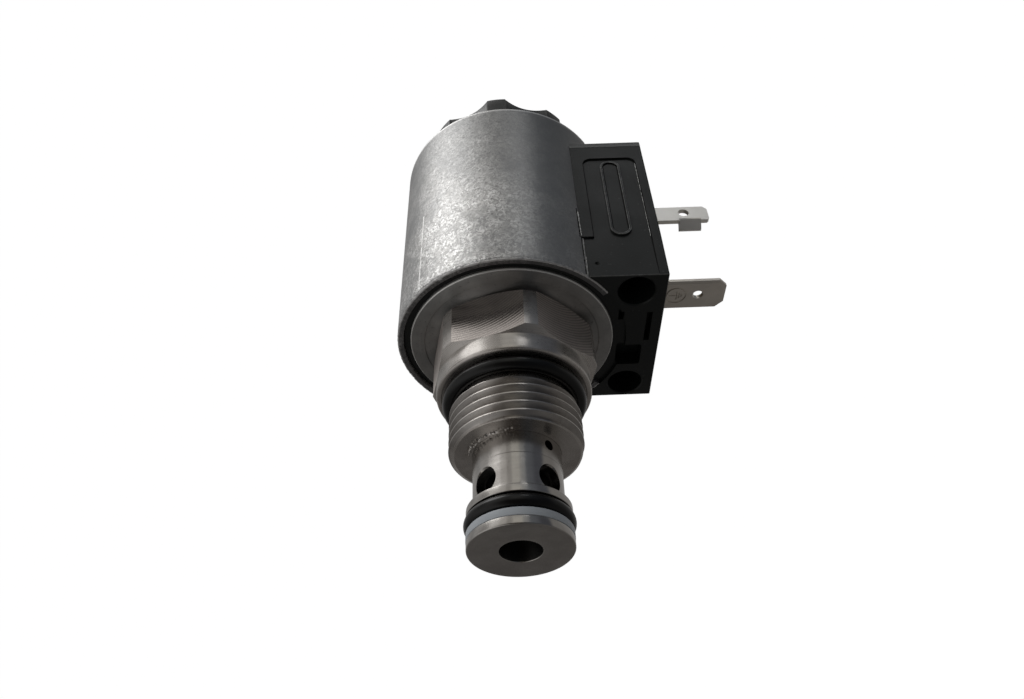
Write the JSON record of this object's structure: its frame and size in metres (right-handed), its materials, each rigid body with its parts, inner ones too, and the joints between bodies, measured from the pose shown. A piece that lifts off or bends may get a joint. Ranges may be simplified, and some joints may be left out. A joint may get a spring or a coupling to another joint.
{
  "type": "solenoid cartridge valve",
  "caption": "Screw-in two-way poppet cartridge valve with a slip-on solenoid coil, a plug-in connector block and a lobed coil nut.",
  "frame": {"origin": "on the valve's axis, in the plane of the collar's underside, which seats on the manifold", "axes": "+Z along the valve's axis from the nose to the coil nut; +X out of the connector block, along its blades; +Y completes the right-handed frame"},
  "size_m": [0.0556, 0.0372, 0.0871],
  "materials": {
    "machined_steel": "turned and milled, lightly oiled",
    "hardened_steel": "ground",
    "spring_steel": "drawn wire",
    "soft_iron": "turned, zinc plated",
    "stainless": "drawn tube",
    "bronze": "brazed ring",
    "rubber": "black nitrile, glossy with oil",
    "ptfe": "white PTFE",
    "zinc_plate": "zinc-plated sheet steel with a mottled spangle",
    "black_plastic": "black glass-filled polyamide, satin",
    "copper": "enamelled wire",
    "tinned_contact": "stamped and tin plated",
    "brass_insert": "turned brass",
    "nut_plastic": "dark grey moulding, semi-gloss"
  },
  "bodies": {
    "cartridge": {"valve_body": "machined_steel", "valve_cage": "machined_steel", "armature_tube": "stainless", "isolation_ring": "bronze", "pole_core": "soft_iron", "tube_o_ring": "rubber", "port_o_ring": "rubber", "nose_o_ring": "rubber", "nose_backup_ring": "ptfe", "poppet_spring": "spring_steel", "armature_spring": "spring_steel"},
    "poppet": {"main_poppet": "hardened_steel"},
    "plunger": {"armature": "soft_iron", "pilot_needle": "hardened_steel"},
    "coil": {"lower_pole_disc": "zinc_plate", "upper_pole_disc": "zinc_plate", "coil_shell": "zinc_plate", "connector_housing": "black_plastic", "coil_bobbin": "black_plastic", "coil_winding": "copper", "coil_lead_1": "copper", "coil_lead_2": "copper", "contact_blade_1": "tinned_contact", "contact_blade_2": "tinned_contact", "ground_blade": "tinned_contact", "threaded_insert": "brass_insert", "coil_lower_seal": "rubber"},
    "nut_seal": {"coil_upper_seal": "rubber"},
    "nut": {"coil_nut": "nut_plastic"}
  },
  "joints": [
    {"name": "armature_lift", "type": "slide", "parent": "cartridge", "child": "plunger", "axis": [0, 0, 1], "range_m": [0, 0.0024], "stiffness_N_per_m": 1500, "springref_m": -0.003, "deforming": ["armature_spring"]},
    {"name": "poppet_lift", "type": "slide", "parent": "cartridge", "child": "poppet", "axis": [0, 0, 1], "range_m": [0, 0.00201], "deforming": ["poppet_spring"]},
    {"name": "coil_swivel", "type": "hinge", "parent": "cartridge", "child": "coil", "pos_m": [0, 0, 0.0318], "axis": [0, 0, 1], "continuous": true},
    {"name": "nut_travel", "type": "slide", "parent": "cartridge", "child": "nut_seal", "axis": [0, 0, 1], "range_m": [0, 0.006]},
    {"name": "nut_turn", "type": "hinge", "parent": "nut_seal", "child": "nut", "pos_m": [0, 0, 0.0565], "axis": [0, 0, 1], "range_deg": [0, 2161]}
  ],
  "couplings": [
    {"joint": "poppet_lift", "follows": "armature_lift", "ratio": 0.83333},
    {"joint": "nut_turn", "follows": "nut_travel", "rad_per_m": 6283.2}
  ]
}
